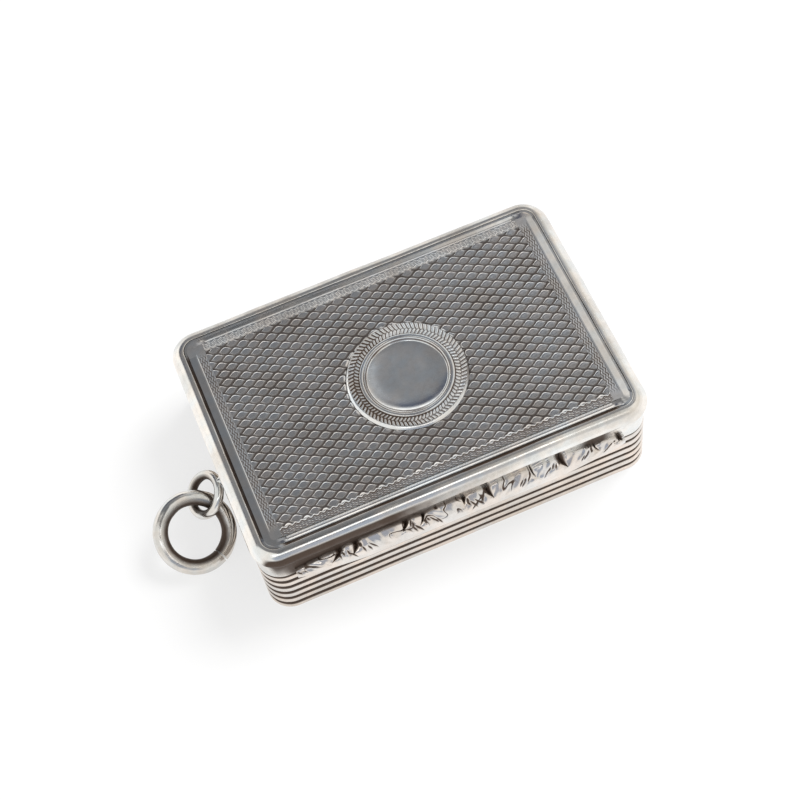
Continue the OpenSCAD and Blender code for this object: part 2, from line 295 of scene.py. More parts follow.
mark_grime_and_shade(reeded_wall, reed_polish_and_shade)
hand_worked(reeded_wall, amount=0.03 * mm, size=5 * mm)
smooth(reeded_wall)
reed_silver = silver("reed_silver", (0.85, 0.75, 0.67, 1), polish=0.12, dark_share=1.4, rubbing=0.5)
dress(reeded_wall, reed_silver)
set_in(reeded_wall, "case", "silver", "body_wall")

# Bezel
# A thin upright collar soldered inside the wall, over which the lid shuts. It is gilt like all of the
# inside, and its upper edge is rounded so that the lid slides on.
bezel_out = 1.07 * mm
bezel_in = 1.45 * mm
bezel_foot = 3 * mm
bezel_top = 6.8 * mm
bezel_steps = 8
rich_gold = (0.83, 0.60, 0.25, 1)
rubbed_gold = (0.86, 0.74, 0.50, 1)
gold_dirt = (0.22, 0.12, 0.04, 1)


def gilt(name, polish):
    made, shader, start = new_finish(name)
    place = start.node("TexCoord", {}, {}, "Object")
    cloud = start.node("TexNoise", {}, {"Vector": place, "Scale": 330, "Detail": 5, "Roughness": 0.6})
    specks = start.node("TexNoise", {}, {"Vector": place, "Scale": 2600, "Detail": 3})
    grime_and_shade = start.node("Attribute", {"attribute_name": "grime_and_shade"}, {}, "Fac")
    rubbed = cloud.between(0.56, 0.74)
    gold = rubbed.blend(rich_gold, rubbed_gold)
    darkened = (grime_and_shade * (0.6 + 0.6 * specks)).between(0, 1)
    start.feed(shader, "Base Color", darkened.blend(gold, gold_dirt))
    start.feed(shader, "Metallic", 1 - 0.3 * darkened)
    start.feed(shader, "Roughness", polish + 0.12 * cloud + 0.1 * specks + 0.25 * darkened)
    worn = {"Strength": 0.2, "Distance": 0.02 * mm, "Height": specks + 0.6 * cloud}
    start.feed(shader, "Normal", start.node("Bump", {}, worn))
    return made


bezel_half = (bezel_in - bezel_out) / 2
bezel_section = [(bezel_in, bezel_foot), (bezel_out, bezel_foot)]
for step in range(bezel_steps + 1):
    swing = math.pi * step / bezel_steps
    bezel_section.append((bezel_out + bezel_half * (1 - math.cos(swing)),
                          bezel_top - bezel_half * (1 - math.sin(swing))))
gilt_bezel = carried_round("gilt_bezel", bezel_section, along=24, across=16)
hand_worked(gilt_bezel, amount=0.02 * mm, size=4 * mm)
smooth(gilt_bezel)
bright_gilt = gilt("bright_gilt", polish=0.16)
dress(gilt_bezel, bright_gilt)
set_in(gilt_bezel, "case", "gilt", "bezel")

# Grille ledge
# A flat gilt strip soldered round the inside of the bezel, on which the grille rests when it is shut.
ledge_out = 1.47 * mm
ledge_in = 1.95 * mm
ledge_low = 4.28 * mm
ledge_top = 4.68 * mm
ledge_ease = 0.08 * mm
ledge_section = [(ledge_out, ledge_low), (ledge_out, ledge_top), (ledge_in - ledge_ease, ledge_top),
                 (ledge_in, ledge_top - ledge_ease), (ledge_in, ledge_low + ledge_ease),
                 (ledge_in - ledge_ease, ledge_low)]
gilt_ledge = carried_round("gilt_ledge", ledge_section, along=24, across=16)
smooth(gilt_ledge)
dress(gilt_ledge, bright_gilt)
set_in(gilt_ledge, "case", "gilt", "grille_ledge")

# Sponge
# A cut block of natural sponge that held the scented vinegar, laid loose in the case under the grille.
# It is soft, open-pored and stained brown, a little slack at its edges.
sponge_l = 32.5 * mm
sponge_w = 21.1 * mm
sponge_low = 0.78 * mm
sponge_top = 4.05 * mm
sponge_round = 0.9 * mm
sponge_pore = 0.9 * mm
fine_pore = 0.42 * mm
pore_reach = 0.42
fine_reach = 0.45
fine_share = 0.7
pore_flare = 0.7
pore_deep = 0.42 * mm
slack_deep = 0.25 * mm
slack_size = 5 * mm
sponge_cuts = 105
dry_brown = (0.52, 0.33, 0.14, 1)
stain_brown = (0.30, 0.16, 0.06, 1)
pore_shade_brown = (0.07, 0.035, 0.015, 1)
vinegar_sponge = new_piece("vinegar_sponge", bpy.ops.mesh.primitive_cube_add, size=1)
edit_all()
bpy.ops.mesh.subdivide(number_cuts=sponge_cuts)
bpy.ops.object.mode_set(mode="OBJECT")
sponge_half = Vector((sponge_l / 2, sponge_w / 2, (sponge_top - sponge_low) / 2))
sponge_core = sponge_half - Vector((sponge_round, sponge_round, sponge_round))
sponge_middle = Vector((0, 0, (sponge_top + sponge_low) / 2))
sponge_depths = []
for vertex in vinegar_sponge.data.vertices:
    full = Vector(2 * side * reach for side, reach in zip(vertex.co, sponge_half))
    inner = Vector(max(-reach, min(reach, side)) for side, reach in zip(full, sponge_core))
    outward = (full - inner).normalized() if (full - inner).length > 0 else Vector((0, 0, 1))
    spot = inner + sponge_round * outward
    wide = 1 - noise.voronoi(spot / sponge_pore)[0][0] / pore_reach
    fine = 1 - noise.voronoi(spot / fine_pore)[0][0] / fine_reach
    pore = max(0, wide, fine_share * fine) ** pore_flare
    slack = 0.5 + 0.5 * noise.noise(spot / slack_size)
    sponge_depths.append(pore)
    vertex.co = spot - outward * (pore_deep * pore + slack_deep * slack) + sponge_middle
layer = vinegar_sponge.data.attributes.new("grime_and_shade", "FLOAT", "POINT")
layer.data.foreach_set("value", sponge_depths)
smooth(vinegar_sponge, 70)
sponge_brown, shader, start = new_finish("sponge_brown")
place = start.node("TexCoord", {}, {}, "Object")
blotch = start.node("TexNoise", {}, {"Vector": place, "Scale": 160, "Detail": 5})
fibre = start.node("TexNoise", {}, {"Vector": place, "Scale": 3200, "Detail": 4})
pore_shade = start.node("Attribute", {"attribute_name": "grime_and_shade"}, {}, "Fac")
stained = blotch.between(0.35, 0.7).blend(dry_brown, stain_brown)
# The pores are darkened towards their depths as painted shade.
start.feed(shader, "Base Color", pore_shade.blend(stained, pore_shade_brown))
start.feed(shader, "Roughness", 0.82 + 0.15 * fibre)
start.feed(shader, "Normal", start.node("Bump", {}, {"Strength": 0.6, "Distance": 0.1 * mm, "Height": fibre}))
dress(vinegar_sponge, sponge_brown)
set_in(vinegar_sponge, "case", "sponge", "sponge")

# Lid hinge
# Five lengths of drawn silver tube along the back edge, by turns soldered to the wall and to the lid,
# threaded on one pin whose ends are burnished over.
knuckle_count = 5
knuckle_run = hinge_l / knuckle_count
knuckle_l = knuckle_run - run_gap
knuckle_ease = 0.09 * mm
ease_steps = 6
bore_shade = 6
pin_r = 0.3 * mm
pin_hole_r = 0.35 * mm


def turned(name, section, y, z, steps=40):
    """Spins a closed section, as (place along X, radius), round a line that runs along X."""
    piece = new_piece(name, bpy.ops.mesh.primitive_circle_add, vertices=len(section), fill_type="NOTHING")
    for vertex, (along, radius) in zip(piece.data.vertices, section):
        vertex.co = (along, y + radius, z)
    edit_all()
    bpy.ops.mesh.spin(steps=steps, angle=2 * math.pi, center=(0, y, z), axis=(1, 0, 0))
    close_up()
    return piece


def tube_section(middle, length, outer, inner, ease):
    left = middle - length / 2
    right = middle + length / 2
    rounding = []
    for step in range(ease_steps + 1):
        swing = math.pi / 2 * step / ease_steps
        rounding.append((ease * (1 - math.sin(swing)), ease * (1 - math.cos(swing))))
    start = [(left + along, outer - inward) for inward, along in rounding]
    finish = [(right - along, outer - inward) for inward, along in reversed(rounding)]
    return start + finish + [(right, inner), (left, inner)]


def bore_painted_shade(spot):
    """Painted shade inside the tubes of the lid hinge."""
    return bore_shade * (1 - math.hypot(spot.y - hinge_y, spot.z - hinge_z) / hinge_r)


def knuckle_row(name, first, count):
    """One knuckle, copied at every second place along the lid hinge."""
    middle = (first + 0.5) * knuckle_run - hinge_l / 2
    section = tube_section(middle, knuckle_l, hinge_r, pin_hole_r, knuckle_ease)
    piece = turned(name, section, hinge_y, hinge_z)
    edit_all()
    for copy in range(1, count):
        bpy.ops.mesh.duplicate_move(TRANSFORM_OT_translate={"value": (2 * knuckle_run, 0, 0)})
    bpy.ops.object.mode_set(mode="OBJECT")
    mark_grime_and_shade(piece, bore_painted_shade)
    smooth(piece)
    dress(piece, plain_silver)
    return piece


wall_knuckles = knuckle_row("wall_knuckles", 0, 3)
set_in(wall_knuckles, "case", "silver", "body_hinge_knuckles")
rim_knuckles = knuckle_row("rim_knuckles", 1, 2)
set_in(rim_knuckles, "lid", "silver", "lid_hinge_knuckles")

pin_l = hinge_l - run_gap
pin_dome = 0.12 * mm
pin_section = [(-pin_l / 2, 0), (-pin_l / 2 + pin_dome / 3, pin_r / 2), (-pin_l / 2 + pin_dome, pin_r),
               (pin_l / 2 - pin_dome, pin_r), (pin_l / 2 - pin_dome / 3, pin_r / 2), (pin_l / 2, 0)]
hinge_wire = turned("hinge_wire", pin_section, hinge_y, hinge_z, steps=24)
smooth(hinge_wire, 50)
dress(hinge_wire, plain_silver)
set_in(hinge_wire, "case", "silver", "lid_hinge_pin")

# Pierced grille and its hinge
# A gilt plate sawn through with scrolls, hung inside the back of the bezel on a small tube and pin between
# two lugs. It keeps its solids, which have the piercing, and takes a gilt finish.
satin_gilt = gilt("satin_gilt", polish=0.2)
for node in ("grille_plate", "grille_knuckle", "grille_lugs", "grille_hinge_pin"):
    dress(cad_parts[node], satin_gilt)

# Hanging loop
# A small ring of round silver wire on a short peg, soldered to the middle of the left end of the wall.
# It droops a little, and the jump ring hangs in it.
loop_r = 1.78 * mm
loop_wire_r = 0.42 * mm
loop_peg_r = 0.45 * mm
loop_y = -0.3 * mm
loop_z = 4.46 * mm
loop_x = -18.31 * mm
loop_droop = math.radians(40)
peg_foot = 0.3 * mm
peg_foot_r = 1.5 * loop_peg_r
peg_fillet = 0.14 * mm
peg_neck = 0.3 * mm
peg_dome = 0.22 * mm
inside_share = 0.35
wall_face = -(case_l / 2 - wall_out)


def wire_ring(name, radius, wire_r, slit=0, sides=24, steps=96):
    """Bends round wire to a ring about the origin, with its slit at the +X side."""
    piece = new_piece(name, bpy.ops.mesh.primitive_circle_add, vertices=sides, radius=wire_r,
                      fill_type="NGON" if slit else "NOTHING", rotation=(math.pi / 2, 0, 0),
                      location=(radius, 0, 0))
    bpy.ops.object.transform_apply(location=True, rotation=True, scale=True)
    edit_all()
    full = 2 * math.pi
    if slit:
        full = full - slit / radius
    bpy.ops.mesh.spin(steps=steps, angle=full, center=(0, 0, 0), axis=(0, 0, -1))
    close_up()
    return piece


def place_piece(piece, turn, shift):
    piece.rotation_euler = turn
    piece.location = shift
    pick(piece)
    bpy.ops.object.transform_apply(location=True, rotation=True, scale=True)


wire_loop = wire_ring("wire_loop", loop_r, loop_wire_r)
edit_all()
bpy.ops.transform.translate(value=(-loop_r, 0, 0))
bpy.ops.object.mode_set(mode="OBJECT")
place_piece(wire_loop, (0, -loop_droop, 0), (loop_x, loop_y, loop_z))
peg_section = [(wall_face + peg_foot, 0), (wall_face + peg_foot, peg_foot_r), (wall_face, peg_foot_r),
               (wall_face - peg_fillet, 1.1 * loop_peg_r), (wall_face - peg_neck, loop_peg_r),
               (loop_x, 0.95 * loop_peg_r), (loop_x - 0.16 * mm, 0.7 * loop_peg_r), (loop_x - peg_dome, 0)]
loop_peg = turned("loop_peg", peg_section, loop_y, loop_z, steps=28)
pick(wire_loop, loop_peg)
bpy.ops.object.join()
loop_middle = Vector((loop_x - loop_r * math.cos(loop_droop), loop_y, loop_z - loop_r * math.sin(loop_droop)))


def dark_inside(middle, radius, wire_r, most):
    """Darkens the inner side of a wire ring."""
    return lambda spot: most * (inside_share + (radius - (spot - middle).length) / wire_r)


mark_grime_and_shade(wire_loop, dark_inside(loop_middle, loop_r, loop_wire_r, most=0.85))
hand_worked(wire_loop, amount=0.025 * mm, size=0.8 * mm)
smooth(wire_loop, 50)
wire_silver = silver("wire_silver", (0.80, 0.76, 0.715, 1), polish=0.14, dark_share=1.0, rubbing=1.0)
dress(wire_loop, wire_silver)
set_in(wire_loop, "case", "silver", "suspension_loop")

# Jump ring
# A stout ring of round silver wire, bent shut with a sawn slit, that hangs in the loop and takes a chain.
# It lies on the table, leaning on the loop, and is worn and scratched all over.
ring_r = 3.04 * mm
ring_wire_r = 0.68 * mm
ring_slit = 0.16 * mm
ring_slit_turn = math.radians(-55)
ring_lean = math.radians(28.5)
ring_dip = math.radians(14)
ring_place = (-21.72 * mm, -2.8 * mm, 2.268 * mm)
split_ring = wire_ring("split_ring", ring_r, ring_wire_r, ring_slit, sides=40, steps=140)
place_piece(split_ring, (0, 0, ring_slit_turn), (0, 0, 0))
place_piece(split_ring, (ring_lean, ring_dip, 0), ring_place)
mark_grime_and_shade(split_ring, dark_inside(Vector(ring_place), ring_r, ring_wire_r, most=0.95))
hand_worked(split_ring, amount=0.03 * mm, size=0.9 * mm)
smooth(split_ring, 50)
dress(split_ring, wire_silver)
set_in(split_ring, "ring", "silver", "jump_ring")

# Lid rim
# A flat flange that shuts over the bezel, rising to a bold rounded roll all round the lid, made from one
# strip of silver and cut away at the back for the hinge. A brown film is left on the front of the roll. The
# flange under the roll and the gap above the thumbpiece are darkened as painted shade, and a thin painted
# shade lies along the roll's back and right.
flange_out = 0.3 * mm
flange_in = 0.95 * mm
rim_low = 6.16 * mm
lid_top = 9.8 * mm
neck_z = 9.2 * mm
rim_inner = 1.22 * mm
rim_ease = 0.05 * mm
rim_edge = 0.01 * mm
roll_inner = 1.12 * mm
roll_low = 7.25 * mm
roll_turns = ((0.84 * mm, 90, 40), (0.5 * mm, 40, 30), (0.62 * mm, 30, -40))
roll_steps = 10
flange_step = 0.2 * mm
rim_section = [(flange_in, roll_low), (rim_inner, neck_z), (rim_inner, lid_top - rim_ease),
               (rim_inner - rim_ease, lid_top - rim_edge)]
inward = roll_inner
height = lid_top
for length, first_tilt, last_tilt in roll_turns:
    for step in range(roll_steps):
        tilt = math.radians(first_tilt + (last_tilt - first_tilt) * (step + 0.5) / roll_steps)
        rim_section.append((inward, height))
        inward = inward - math.sin(tilt) * length / roll_steps
        height = height - math.cos(tilt) * length / roll_steps
rim_section = rim_section + [(inward, height), (flange_out, height - flange_step), (flange_out, rim_low),
                             (flange_in, rim_low)]


def fade(value, low, high):
    place = min(1, max(0, (value - low) / (high - low)))
    return place * place * (3 - 2 * place)


groove_edge = 0.02 * mm
soft_edge = 0.3 * mm
near_right = (15 * mm, 16.4 * mm)
near_back = (9 * mm, 10 * mm)
front_face = (11.2 * mm, 11.9 * mm)
roll_crown = 9.5 * mm
crown_edge = 0.25 * mm
roll_foot = (7.9 * mm, 8.2 * mm)
brown_run = (-9 * mm, 12 * mm)
under_shade_run = (-8 * mm, 6 * mm)
left_end = (-16.6 * mm, -14.6 * mm)
gap_shadow_top = 8.85 * mm
gap_shadow_start = (10 * mm, 12 * mm)
gap_shadow_finish = (12.6 * mm, 14.8 * mm)
back_roll = (10.5 * mm, 11.4 * mm)
right_roll = (16.4 * mm, 17.2 * mm)
past_front = (-9 * mm, -4 * mm)
back_shade_veil = 0.38
right_shade_veil = 0.26


def rim_grime_and_shade(spot):
    """Dark polish in the groove, a brown film on the roll's front, and painted shade under the roll (most at
    the front left), above the thumbpiece and as a veil at the back and right.
    """
    rubbed = max(fade(spot.x, *near_right), fade(spot.y, *near_back))
    groove = fade(inset_of(spot), roll_inner - groove_edge, rim_inner) * (1 - 0.6 * rubbed)
    in_front = fade(-spot.y, *front_face)
    on_roll = fade(roll_crown - spot.z, 0, crown_edge) * fade(spot.z, *roll_foot)
    browned = on_roll * in_front * fade(-spot.x, *brown_run)
    leftward = fade(-spot.x, *under_shade_run) * fade(spot.x, *left_end)
    # Painted shade under the roll, in the gap above the thumbpiece, and as a thin veil on the back and right
    # of the roll.
    under_shade = fade(roll_foot[1] - spot.z, 0, soft_edge) * in_front * max(leftward, 0.25)
    gap_span = fade(spot.x, *gap_shadow_start) * (1 - fade(spot.x, *gap_shadow_finish))
    gap_shadow = fade(gap_shadow_top - spot.z, 0, soft_edge) * in_front * gap_span
    at_back = fade(spot.y, *back_roll)
    at_right = fade(spot.x, *right_roll) * fade(spot.y, *past_front)
    shade_veil = max(back_shade_veil * at_back, right_shade_veil * at_right)
    return max(0.75 * groove, 1.1 * browned, 0.9 * under_shade, gap_shadow, shade_veil)


rolled_rim = carried_round("rolled_rim", rim_section, along=60, across=40, bend=20)
cut_seat(rolled_rim, hinge_r + run_gap)
mark_grime_and_shade(rolled_rim, rim_grime_and_shade)
hand_worked(rolled_rim, amount=0.05 * mm, size=4 * mm)
smooth(rolled_rim)
rim_silver = silver("rim_silver", (0.95, 0.905, 0.85, 1), polish=0.12, dark_share=1.0, rubbing=0.6)
dress(rolled_rim, rim_silver)
set_in(rolled_rim, "lid", "silver", "lid_rim")

# Lid plate
# The flat top, a sheet let into the rim so that a brown groove is left all round it. A sloping ridge stands
# along its front and back inside the groove, with a stripe between it and the engine turning, and its right
# end falls away outwards.
plate_low = 9.05 * mm
plate_out = 1.26 * mm
top_out = 1.46 * mm
top_start = top_out + 0.02 * mm
plate_groove_z = 9.58 * mm
field_floor = 9.6 * mm
frame_in = 2.04 * mm
crest_in = 1.5 * mm
stripe_out = 1.78 * mm
stripe_in = 1.8 * mm
stripe_deep = 0.12 * mm
end_slope = 0.19
corner_x = 14.6 * mm
corner_y = 9.1 * mm
corner_fade = 1.1 * mm
lip_drop = 0.3
lip_w = 0.06 * mm
groove_fill = 0.17 * mm
groove_shade = (0.05 * mm, 0.2 * mm)
stripe_shade = (0.09 * mm, 0.11 * mm)
sheet_ease = 0.1 * mm
hair = 0.001 * mm
frame_steps = 26
frame_section = [(plate_out, plate_low), (plate_out, plate_groove_z), (top_out, plate_groove_z)]
for step in range(frame_steps + 1):
    frame_section.append((top_start + (frame_in - top_start) * step / frame_steps, lid_top))
frame_section = frame_section + [(frame_in, field_floor), (frame_in, plate_low)]
plate_frame = carried_round("plate_frame", frame_section, along=120, across=60, bend=8)


def frame_drop(inward):
    """How far the edge of the plate lies below its ridge, from 0 to 1."""
    lip = lip_drop * (1 - fade(inward, top_out, top_out + lip_w))
    return max(lip, min(1, max(0, (inward - crest_in) / (stripe_out - crest_in))))


for vertex in plate_frame.data.vertices:
    inward = inset_of(vertex.co)
    at_end = fade(abs(vertex.co.x), corner_x, corner_x + corner_fade)
    at_corner = at_end * fade(abs(vertex.co.y), corner_y, corner_y + corner_fade)
    if vertex.co.z > lid_top - hair:
        fall = end_slope * (frame_in - inward) if vertex.co.x > corner_x else 0
        vertex.co.z = lid_top - stripe_deep * frame_drop(inward) * (1 - at_end) - fall * at_end
    elif abs(vertex.co.z - plate_groove_z) < hair:
        at_right = 0.6 * fade(vertex.co.x, *near_right)
        at_back = 0.75 * fade(vertex.co.y, *near_back)
        vertex.co.z = plate_groove_z + groove_fill * max(at_corner, at_right, at_back)


def plate_dirt(spot):
    """Brown in the groove, and a little in the stripe inside the ridge."""
    groove = fade(lid_top - spot.z, *groove_shade) * (1 - fade(inset_of(spot), top_out, crest_in))
    stripe = fade(lid_top - spot.z, *stripe_shade) * fade(inset_of(spot), crest_in, stripe_out)
    return 0.85 * groove + 0.4 * stripe


mark_grime_and_shade(plate_frame, plate_dirt)
smooth(plate_frame, 50)
plate_silver = silver("plate_silver", (0.70, 0.695, 0.69, 1), polish=0.09, dark_share=1.0, rubbing=0.6)
# A lighter copy of the plate silver, as painted light on the plate's ridge, right end and back; the waved
# borders take it too.
lit_border_silver = silver("lit_border_silver", (0.92, 0.89, 0.86, 1), polish=0.1, dark_share=1.0, rubbing=0.4)
dress(plate_frame, plate_silver)
plate_frame.data.materials.append(lit_border_silver)
# The ridge, the right end and the back take the lighter copy, as painted light.
for face in plate_frame.data.polygons:
    spot = face.center
    on_ridge = inset_of(spot) < stripe_out and abs(spot.x) < corner_x and abs(spot.y) > corner_y
    if inset_of(spot) > top_out and (on_ridge or spot.x > corner_x or spot.y > corner_y):
        face.material_index = 1
set_in(plate_frame, "lid", "silver", "lid_plate")

plate_sheet = new_piece("plate_sheet", bpy.ops.mesh.primitive_cube_add, size=1,
                        location=(0, 0, (plate_low + field_floor) / 2),
                        scale=(case_l - 2 * frame_in, case_w - 2 * frame_in, field_floor - plate_low))
bpy.ops.object.transform_apply(location=True, rotation=True, scale=True)
edit_all()
bpy.ops.mesh.bevel(offset=sheet_ease, segments=2, affect="EDGES")
bpy.ops.object.mode_set(mode="OBJECT")
smooth(plate_sheet)
dress(plate_sheet, plate_silver)
set_in(plate_sheet, "lid", "silver", "lid_plate")

# Engine-turned field
# Waved cuts side by side, each half a wave out of step with the one before, that leave rows of small grains
# pointed at both ends, each falling to the front from its back edge. Dark polish stays in the cuts, which run
# out under the border of the reserve, and each grain is darkened towards its front cut, more on its right
# half, as painted shade.
grain_l = 1.67 * mm
grain_rows = 44
grain_steps = 9
grain_columns = 270
front_slope = 0.15 * mm
back_slope = 0.2 * mm
shade_w = 0.36 * mm
cut_deep = 0.1 * mm
grain_fall = 0.1
wave_share = 0.46
front_curve = 1.4
back_curve = 1.15
shade_most = 1.15
shade_sway = 0.2
back_shade = 0.2
field_lap = 0.1 * mm
lap_fall = 0.2 * mm
hole_in = 0.25 * mm
grey_polish_and_shade = (0.078, 0.065, 0.059, 1)
field_x = 15 * mm
field_y = 9.4 * mm
reserve_x = 0.15 * mm
reserve_y = -0.45 * mm
reserve_r = 5.32 * mm


def points_of(piece):
    spots = np.empty(3 * len(piece.data.vertices))
    piece.data.vertices.foreach_get("co", spots)
    return spots.reshape(-1, 3)


def unit(values):
    """Holds values between 0 and 1."""
    return np.clip(values, 0, 1)


def put_points(piece, spots, grime_and_shade):
    piece.data.vertices.foreach_set("co", spots.ravel())
    layer = piece.data.attributes.new("grime_and_shade", "FLOAT", "POINT")
    layer.data.foreach_set("value", unit(grime_and_shade))
    piece.data.update()


grain_field = new_piece("grain_field", bpy.ops.mesh.primitive_grid_add, size=1,
                        x_subdivisions=grain_columns, y_subdivisions=grain_rows * grain_steps)
spots = points_of(grain_field)
cut_pitch = 2 * field_y / (grain_rows - 2)
along = spots[:, 0] * 2 * field_x
row_place = (spots[:, 1] + 0.5) * grain_rows
row = np.minimum(np.floor(row_place), grain_rows - 1)
swing = np.where(row % 2 == 0, 1, -1)
wave_turn = 2 * math.pi * along / grain_l
wave = wave_share * cut_pitch * np.cos(wave_turn) * swing
rightward = -np.sin(wave_turn) * swing
front_cut = (row - grain_rows / 2) * cut_pitch + wave
back_cut = (row + 1 - grain_rows / 2) * cut_pitch - wave
share = 0.5 - 0.5 * np.cos(math.pi * (row_place - row))
grain_w = back_cut - front_cut
front_wall = unit(share * grain_w / front_slope)
back_wall = unit((1 - share) * grain_w / back_slope)
across = front_cut + share * grain_w
fall = grain_fall * grain_w
front_drop = fall * (1 - share) ** 2 + (cut_deep - fall) * (1 - front_wall) ** front_curve
level = lid_top - np.maximum(front_drop, cut_deep * (1 - back_wall) ** back_curve)
near_reserve = reserve_r + field_lap - np.hypot(along - reserve_x, across - reserve_y)
level = level - lap_fall * unit(near_reserve / lap_fall)
# Painted shade: each grain darkens towards its front cut, more on its right half.
front_shade = shade_most * (1 - share * grain_w / (shade_w * (1 + shade_sway * rightward)))
shaded = np.maximum(front_shade, 1 - back_wall / back_shade)
put_points(grain_field, np.column_stack([along, across, level]), shaded)
edit_all()
for side in (-1, 1):
    bpy.ops.mesh.select_all(action="SELECT")
    bpy.ops.mesh.bisect(plane_co=(0, side * field_y, 0), plane_no=(0, side, 0), clear_outer=True)
bpy.ops.mesh.select_all(action="DESELECT")
bpy.ops.object.mode_set(mode="OBJECT")
for vertex in grain_field.data.vertices:
    vertex.select = math.hypot(vertex.co.x - reserve_x, vertex.co.y - reserve_y) < reserve_r - hole_in
bpy.ops.object.mode_set(mode="EDIT")
bpy.ops.mesh.delete(type="VERT")
close_up()
smooth(grain_field, 60)
field_silver = silver("field_silver", (0.82, 0.79, 0.77, 1), polish=0.13, dark_share=0.95, rubbing=0.4,
                      dark=grey_polish_and_shade)
dress(grain_field, field_silver)
set_in(grain_field, "lid", "silver", "lid_plate")

# Waved borders
# Fine waved lines cut side by side round the field: a bold one and three faint ones along the front and back,
# three faint ones at each end, and a milled ridge outside those of the front and back.
wave_run = 0.56 * mm
wave_swing = 0.075 * mm
line_half = 0.075 * mm
line_pitch = 0.168 * mm
bold_half = 1.45 * line_half
bold_h = 0.05 * mm
faint_h = 0.034 * mm
end_line_h = 0.5 * faint_h
line_sink = 0.6 * bold_h
foot_at = 0.65
foot_w = 0.6
back_foot_shade = 0.5
long_border_w = case_w / 2 - frame_in - field_y
end_border_w = case_l / 2 - frame_in - field_x
long_lines = 5
end_lines = (1.1, 2.5, 3.9)
end_reach = 0.2 * mm
end_fade = 0.8 * mm
end_sink = 0.004 * mm
cut_w = 0.85 * end_border_w
end_shade_w = 0.8 * end_border_w
milled_run = 0.14 * mm
milled_l = 2 * field_x - 0.6 * mm
milled_lift = 0.005 * mm
milled_deep = 0.035 * mm
milled_dirt = 0.45
milled_w = frame_in - stripe_in


def laid_strip(name, length, width, columns, rows):
    """A flat strip of fine mesh: gives it, and each point's place along it and out from its inner edge."""
    piece = new_piece(name, bpy.ops.mesh.primitive_grid_add, size=1,
                      x_subdivisions=columns, y_subdivisions=rows)
    spots = points_of(piece)
    return piece, spots[:, 0] * length, (spots[:, 1] + 0.5) * width


def cut_strip(piece, along, outward, level, grime_and_shade):
    """Puts the points of a strip where its places along and outward say, and turns its faces up."""
    put_points(piece, np.column_stack([along, outward, level]), grime_and_shade)
    edit_all()
    bpy.ops.mesh.normals_make_consistent(inside=False)
    bpy.ops.object.mode_set(mode="OBJECT")
    return piece


def waved_line(run, outward, place, half, line_h, front):
    """The height of one waved line, a small ridge, and how near a point lies to the foot on its front."""
    offset = outward - place - wave_swing * np.sin(2 * math.pi * run / wave_run)
    foot = 1 - np.abs(front * offset / half - foot_at) / foot_w
    return line_h * unit(1 - np.abs(offset) / half), unit(2 * foot)


strips = []
for side in (-1, 1):
    piece, run, outward = laid_strip("waved_borders", 2 * field_x, long_border_w, columns=620, rows=40)
    # Painted shade: the foot on the front side of each line is darkened, half as much along the back.
    bold, dark = waved_line(run, outward, line_pitch, bold_half, bold_h, -side)
    level = lid_top - line_sink + bold
    for line in range(2, long_lines):
        ridge, foot = waved_line(run, outward, line * line_pitch, line_half, faint_h, -side)
        level = np.maximum(level, lid_top - line_sink + ridge)
        dark = np.maximum(dark, foot)
    dark = dark * (1 if side < 0 else back_foot_shade)
    strips.append(cut_strip(piece, run, side * (field_y + outward), level, dark))

    end_l = 2 * (field_y + long_border_w)
    piece, run, outward = laid_strip("end_borders", end_l, end_border_w, columns=420, rows=30)
    kept = unit((field_y + end_reach - np.abs(run)) / end_fade)
    level = lid_top - end_sink - faint_h * kept * (outward < cut_w)
    # Painted shade: within the cut the end borders are darkened a quarter all over and more at each foot.
    dark = np.zeros(len(run))
    for line in end_lines:
        ridge, foot = waved_line(run, outward, line * line_pitch, line_half, end_line_h, -side)
        level = level + kept * ridge
        dark = np.maximum(dark, kept * (0.25 + 0.75 * foot) * (outward < end_shade_w))
    strips.append(cut_strip(piece, side * (field_x + outward), run, level, dark))

    piece, run, outward = laid_strip("milled_ridge", milled_l, milled_w, columns=1280, rows=6)
    tooth = 0.5 - 0.5 * np.cos(2 * math.pi * (run + 0.5 * outward) / milled_run)
    crown = unit(1 - (2 * outward / milled_w - 1) ** 2)
    level = lid_top - stripe_deep + milled_lift + crown * (stripe_deep - milled_deep * (1 - tooth))
    reach = case_w / 2 - frame_in
    strips.append(cut_strip(piece, run, side * (reach + outward), level, milled_dirt * (1 - tooth) ** 2))
pick(*strips)
bpy.ops.object.join()
waved_borders = strips[0]
smooth(waved_borders, 60)
dress(waved_borders, lit_border_silver)
set_in(waved_borders, "lid", "silver", "lid_plate")

# Reserve
# A plain round polished place, a shallow dish, left bare inside a raised lip. Round it run a rounded
# band, two rows of fine slanting teeth and a bevel down to the field, which is widest at the front left.
# Dark polish lies in the teeth and fine lines, and the bevel's back right and the left teeth are darkened
# as painted shade.
teeth = 84
tooth_steps = 8
disc_r = 3.57 * mm
lip_r = 3.74 * mm
band_r = 4.14 * mm
bead_h = 0.07 * mm
lip_h = 0.16 * mm
band_h = 0.085 * mm
tooth_h = 0.1 * mm
tooth_slant = 0.6
dish_deep = 0.18 * mm
dish_rise = 0.14 * mm
front_rise = 0.16 * mm
dish_curve = 6
front_way = math.radians(250)
bevel_w = 0.08 * mm
bevel_more = 0.22 * mm
bevel_way = math.radians(240)
shade_way = math.radians(32)
brown_line_w = 0.08 * mm
stain_size = 1.1 * mm
reserve_foot = 0.1 * mm
reserve_rows = 66
round_reserve = new_piece("round_reserve", bpy.ops.mesh.primitive_grid_add, size=1,
                          x_subdivisions=reserve_rows, y_subdivisions=1)
bpy.ops.object.mode_set(mode="EDIT")
bpy.ops.mesh.select_all(action="DESELECT")
bpy.ops.object.mode_set(mode="OBJECT")
for vertex in round_reserve.data.vertices:
    vertex.select = vertex.co.y > 0
